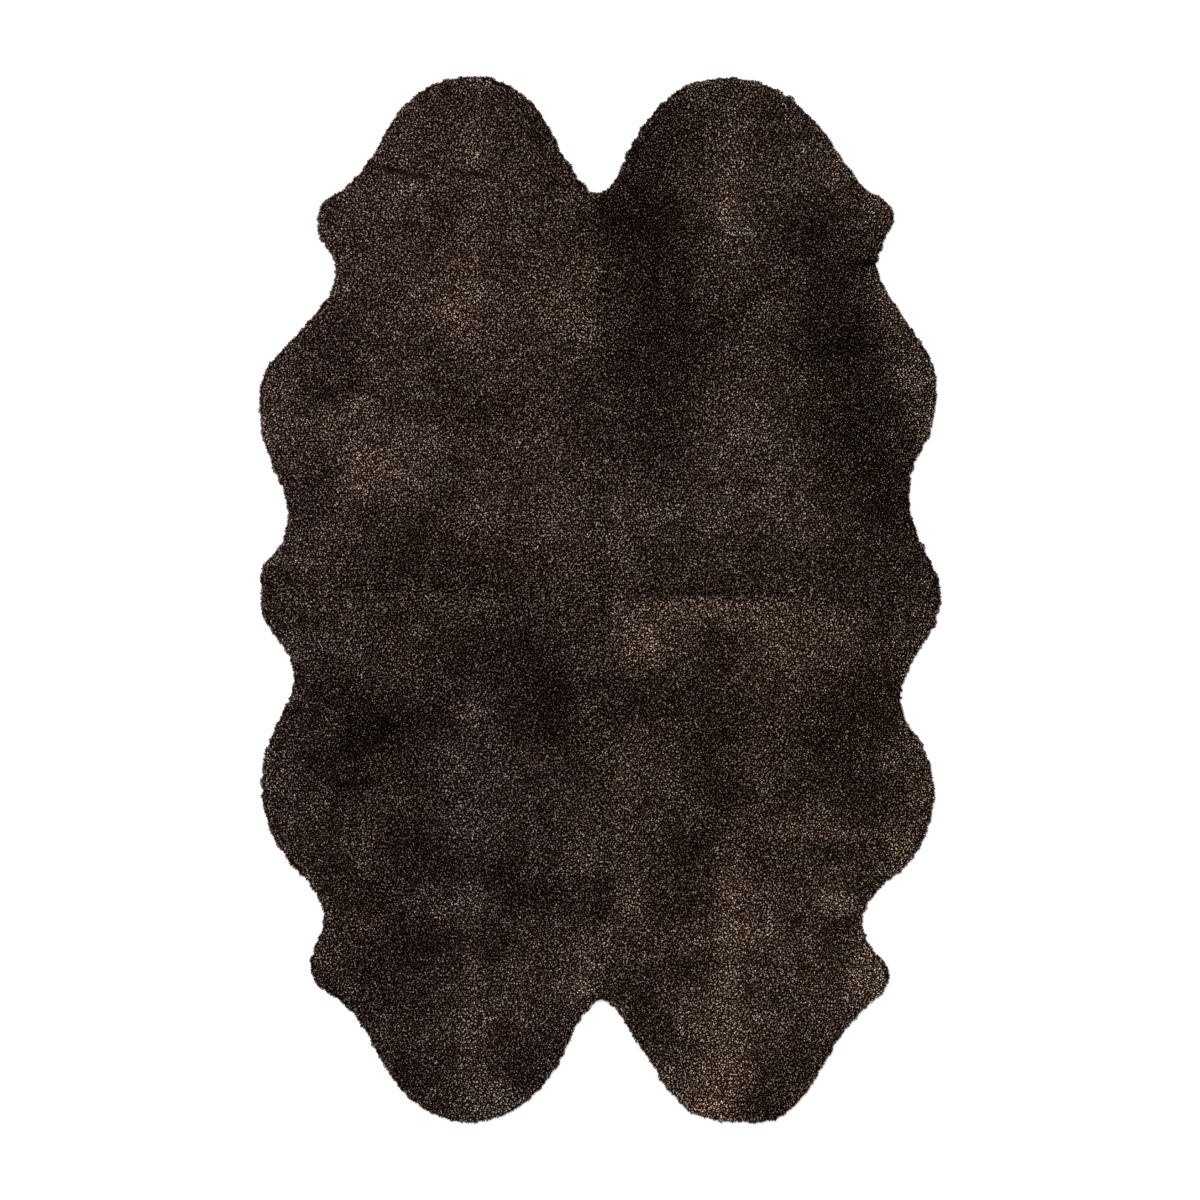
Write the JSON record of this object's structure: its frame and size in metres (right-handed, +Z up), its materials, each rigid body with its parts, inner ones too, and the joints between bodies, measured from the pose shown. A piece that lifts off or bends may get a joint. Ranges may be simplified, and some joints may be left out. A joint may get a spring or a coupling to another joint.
{
  "type": "lambskin rug",
  "caption": "Flat rug of short-curled dark brown lambskins sewn edge to edge, with a lobed natural hide outline and a lumpy wool pile on top.",
  "frame": {"origin": "on the floor, under the middle of the rug's outline", "axes": "+Z up out of the wool, +Y along the rug's length to its top end, +X across it to the right seen from above"},
  "size_m": [1.1746, 1.8049, 0.0221],
  "materials": {
    "wool": "short curled wool, dark brown",
    "hide": "suede, tanned brown"
  },
  "bodies": {
    "root": {"skin_top_left": "wool", "skin_bottom_left": "wool", "skin_bottom_right": "wool", "skin_top_right": "wool"}
  },
  "joints": []
}
